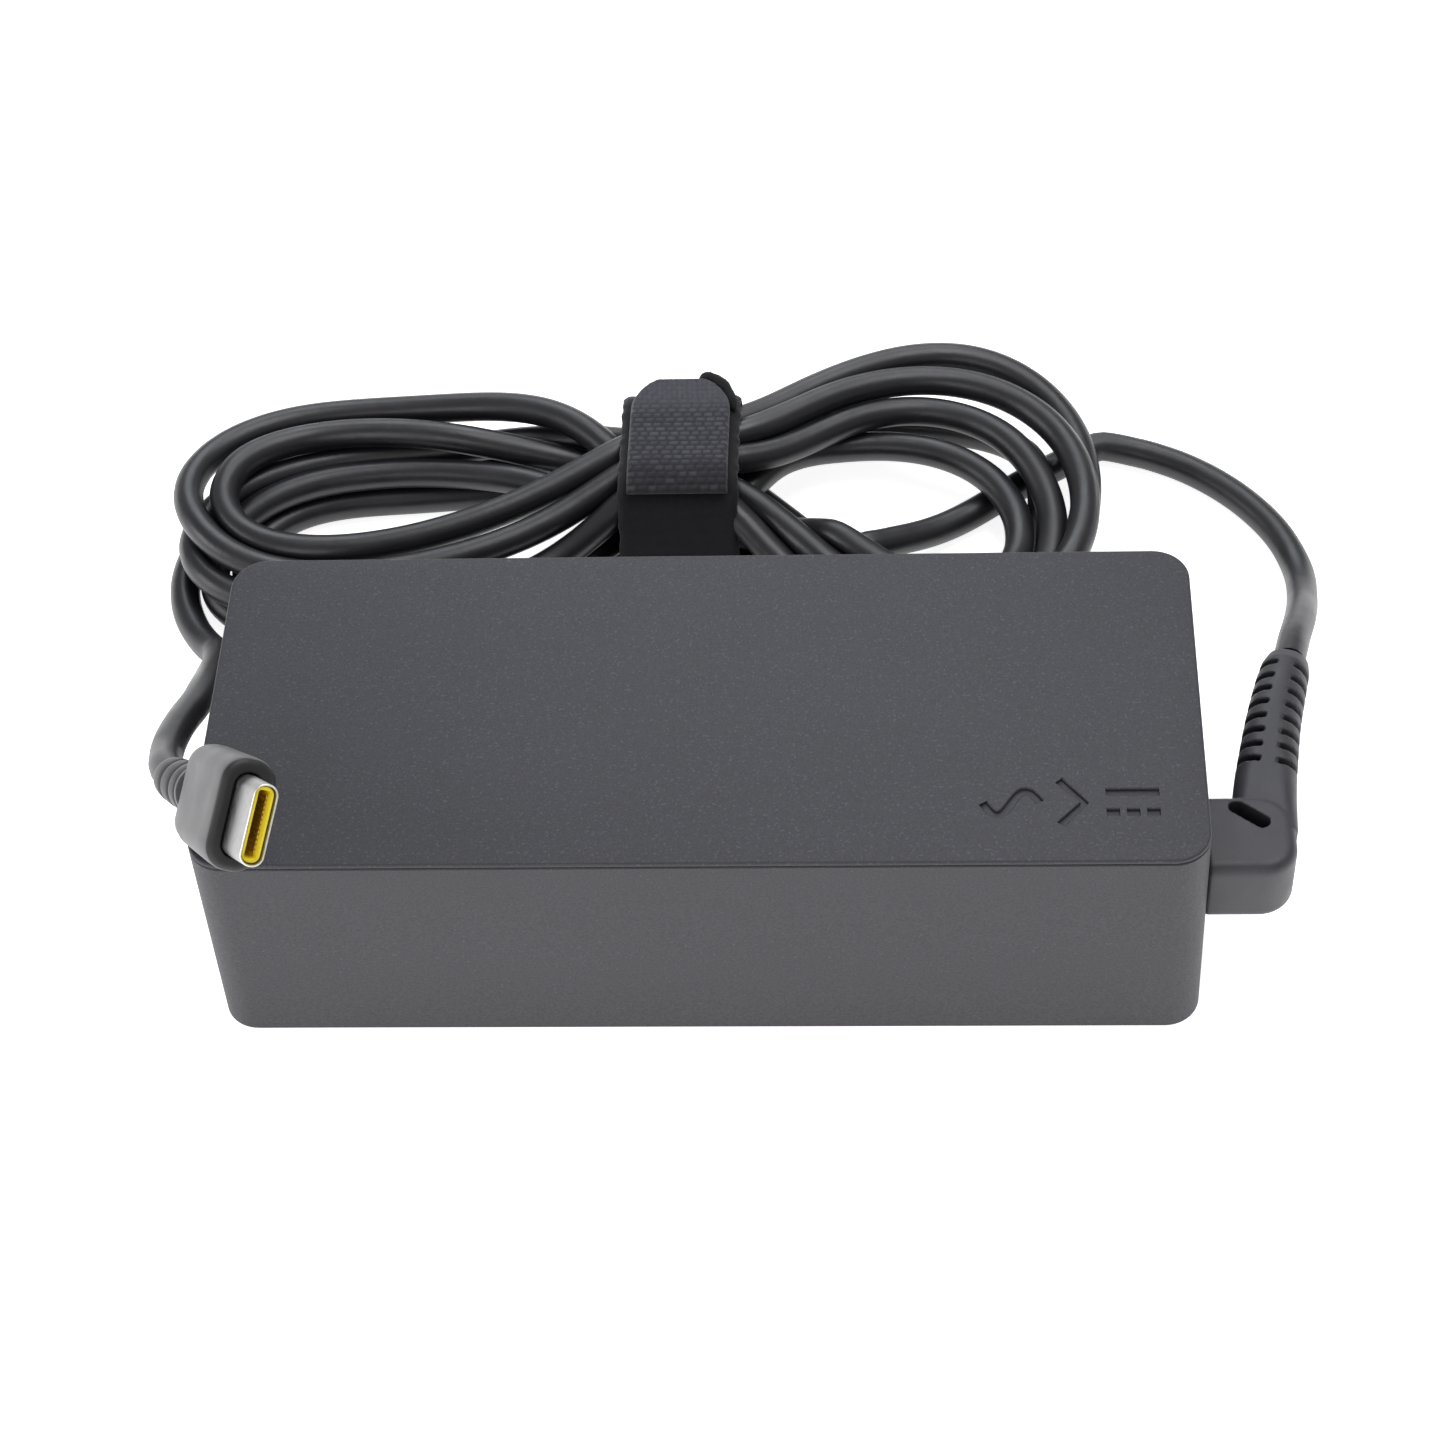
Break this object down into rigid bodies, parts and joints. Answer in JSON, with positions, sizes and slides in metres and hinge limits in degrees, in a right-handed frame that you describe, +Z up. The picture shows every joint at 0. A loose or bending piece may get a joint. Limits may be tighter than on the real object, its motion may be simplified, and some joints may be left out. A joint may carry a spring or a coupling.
{
  "type": "laptop power adapter",
  "caption": "Brick-shaped laptop power adapter with a mains inlet at one end, an elbow boot at the other, and a strapped cord that ends in a USB-C plug.",
  "frame": {"origin": "middle of the housing's flat base, without the cord and its boot", "axes": "+X along the housing from the mains inlet to the cord's boot, +Y across it towards the hank, +Z up from the base to the marked cover"},
  "size_m": [0.1413, 0.1142, 0.0514],
  "materials": {
    "case_plastic": "fine matte grain, blue-grey",
    "label_film": "blank satin film",
    "inlet_plastic": "matte black",
    "tinned_brass": "bright tin plate",
    "boot_rubber": "matte dark grey",
    "cord_skin": "smooth satin black",
    "strap_textile": "woven black hook-and-loop tape",
    "plug_plastic": "fine matte grey",
    "plug_steel": "nickel-plated, satin",
    "plug_insert_yellow": "yellow moulding",
    "contact_gold": "gold plated",
    "board_green": "solder mask",
    "fuse_case": "moulded",
    "varistor_coat": "dipped coating",
    "x_capacitor_case": "moulded box",
    "y_capacitor_coat": "dipped coating",
    "thermistor_coat": "dipped coating",
    "ferrite": "sintered ferrite",
    "winding_copper": "enamelled copper wire",
    "epoxy_black": "moulded epoxy",
    "epoxy_white": "moulded epoxy",
    "capacitor_sleeve": "shrunk film",
    "capacitor_can": "drawn can",
    "aluminium": "rolled sheet",
    "thermal_pad": "soft pad",
    "bobbin_phenolic": "moulded phenolic",
    "winding_tape": "polyester tape",
    "insulation_film": "polyester film",
    "shield_copper": "copper sheet",
    "wire_brown": "wire insulation",
    "wire_blue": "wire insulation",
    "wire_green_yellow": "wire insulation",
    "wire_red": "wire insulation",
    "wire_black": "wire insulation",
    "wire_white": "wire insulation"
  },
  "bodies": {
    "adapter": {"bottom_shell": "case_plastic", "top_cover": "case_plastic", "rating_label": "label_film", "inlet_body": "inlet_plastic", "inlet_pin_line": "tinned_brass", "inlet_pin_neutral": "tinned_brass", "inlet_pin_earth": "tinned_brass", "cord_boot": "boot_rubber", "brick_lead": "cord_skin", "cord_hank": "cord_skin", "plug_lead": "cord_skin", "strap_band": "strap_textile", "strap_neck": "strap_textile", "plug_strain_relief": "boot_rubber", "plug_overmould": "plug_plastic", "plug_shell": "plug_steel", "plug_insert": "plug_insert_yellow", "plug_contacts_upper": "contact_gold", "plug_contacts_lower": "contact_gold", "plug_card": "board_green", "main_board": "board_green", "insulation_sheet": "insulation_film", "emi_shield": "shield_copper", "fuse": "fuse_case", "varistor": "varistor_coat", "x_capacitor": "x_capacitor_case", "y_capacitor": "y_capacitor_coat", "inrush_thermistor": "thermistor_coat", "choke_core": "ferrite", "choke_winding_line": "winding_copper", "choke_winding_neutral": "winding_copper", "bridge_rectifier": "epoxy_black", "bulk_capacitor": "capacitor_sleeve", "primary_heatsink": "aluminium", "primary_thermal_pad": "thermal_pad", "power_transistor": "epoxy_black", "optocoupler": "epoxy_white", "control_chip": "epoxy_black", "transformer_core": "ferrite", "transformer_bobbin": "bobbin_phenolic", "transformer_winding": "winding_tape", "output_capacitor_1": "capacitor_can", "output_capacitor_2": "capacitor_can", "output_capacitor_3": "capacitor_can", "output_choke": "ferrite", "secondary_heatsink": "aluminium", "secondary_thermal_pad": "thermal_pad", "rectifier_transistor": "epoxy_black", "usb_pd_board": "board_green", "usb_pd_chip": "epoxy_black", "mains_wire_line": "wire_brown", "mains_wire_neutral": "wire_blue", "mains_wire_earth": "wire_green_yellow", "output_wire_positive": "wire_red", "output_wire_negative": "wire_black", "output_wire_signal": "wire_white"},
    "tail": {"strap_tail": "strap_textile"}
  },
  "joints": [
    {"name": "strap_tail_peel", "type": "hinge", "parent": "adapter", "child": "tail", "pos_m": [-0.0056, 0.0642, 0.0158], "axis": [-1, 0, 0], "range_deg": [0, 75]}
  ]
}
